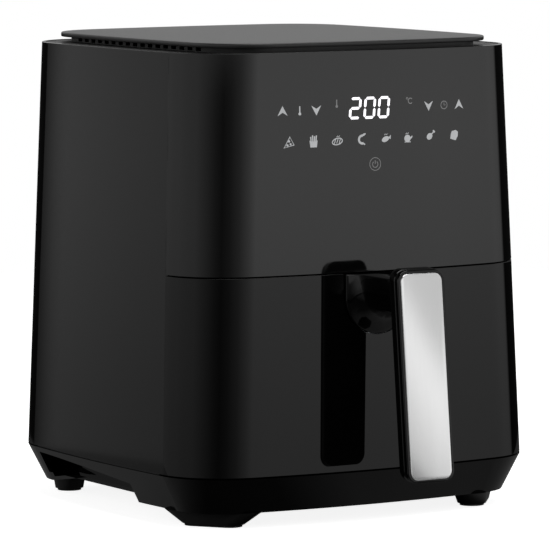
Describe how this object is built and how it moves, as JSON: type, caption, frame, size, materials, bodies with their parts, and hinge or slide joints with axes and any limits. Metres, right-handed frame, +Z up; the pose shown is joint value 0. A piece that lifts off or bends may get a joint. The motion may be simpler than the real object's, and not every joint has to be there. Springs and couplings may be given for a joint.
{
  "type": "air fryer",
  "caption": "Countertop air fryer with pull-out drawer, slanted bar handle, lift-out crisper tray, touch panel and an internal fan heater.",
  "frame": {"origin": "on the table, under the middle of the fryer's bounding box (handle included)", "axes": "+Z up, -Y towards the user (drawer and handle side), +X to the user's right"},
  "size_m": [0.2718, 0.3399, 0.3113],
  "materials": {
    "gloss_black": "high gloss injection moulded plastic",
    "satin_black": "fine satin texture",
    "matte_black": "matte moulded plastic",
    "lid_satin": "satin moulded plastic",
    "brushed_silver": "brushed lengthways",
    "rubber": "matte",
    "silicone": "soft silicone",
    "pan_coating": "dark non-stick coating, faint speckle",
    "aluminised_steel": "dull rolled sheet",
    "heater_steel": "heat-darkened tube",
    "steel": "machined",
    "zinc": "zinc plated",
    "aluminium": "pressed sheet",
    "laminations": "stacked sheet",
    "ceramic_white": "unglazed",
    "board_green": "circuit board",
    "display_black": "smoked window over lit segments",
    "nylon": "natural nylon"
  },
  "bodies": {
    "housing": {"front_panel": "gloss_black", "left_side_shell": "satin_black", "right_side_shell": "satin_black", "rear_panel": "matte_black", "rear_screws": "zinc", "top_cover": "lid_satin", "top_vent_ring": "matte_black", "base_skirt": "gloss_black", "bottom_plate": "matte_black", "floor_screws": "zinc", "foot_front_left": "matte_black", "foot_front_right": "matte_black", "foot_rear_left": "matte_black", "foot_rear_right": "matte_black", "foot_pads": "rubber", "chamber_front_frame": "matte_black", "chamber_liner": "aluminised_steel", "drawer_guide_left": "matte_black", "drawer_guide_right": "matte_black", "chamber_dome": "aluminised_steel", "heater_bushes": "ceramic_white", "heating_coil": "heater_steel", "heater_clips": "steel", "heater_guard": "steel", "temperature_probe": "steel", "thermal_cutout": "ceramic_white", "exhaust_duct": "aluminised_steel", "exhaust_grille": "matte_black", "heat_shield": "aluminised_steel", "motor_bracket": "zinc", "motor_end_cap": "zinc", "motor_bearings": "steel", "motor_stator": "laminations", "control_board": "board_green", "display_module": "display_black", "touch_key_springs": "steel", "power_board": "board_green", "power_board_posts": "nylon", "cord_gland": "rubber", "door_switch": "matte_black"},
    "drawer": {"drawer_front": "gloss_black", "drawer_trim": "matte_black", "drawer_inner_cover": "matte_black", "drawer_pan": "pan_coating", "pan_screws": "zinc", "handle_grip": "matte_black", "handle_bezel": "gloss_black", "handle_plate": "brushed_silver", "handle_bracket": "zinc", "handle_screws": "zinc"},
    "crisper": {"crisper_tray": "pan_coating", "tray_bumpers": "silicone"},
    "rotor": {"rotor_core": "laminations", "motor_shaft": "steel", "hot_air_fan": "aluminium", "cooling_fan": "aluminium", "fan_nuts": "zinc"},
    "plunger": {"switch_plunger": "nylon"}
  },
  "joints": [
    {"name": "drawer_slide", "type": "slide", "parent": "housing", "child": "drawer", "axis": [0, -1, 0], "range_m": [0, 0.215]},
    {"name": "tray_lift", "type": "slide", "parent": "drawer", "child": "crisper", "axis": [0, 0, 1], "range_m": [0, 0.075]},
    {"name": "fan_spin", "type": "hinge", "parent": "housing", "child": "rotor", "pos_m": [0, 0.04951, 0.2], "axis": [0, 0, 1], "continuous": true},
    {"name": "switch_travel", "type": "slide", "parent": "housing", "child": "plunger", "axis": [0, -1, 0], "range_m": [0, 0.00215]}
  ],
  "couplings": [
    {"joint": "switch_travel", "follows": "drawer_slide", "ratio": 0.01}
  ]
}
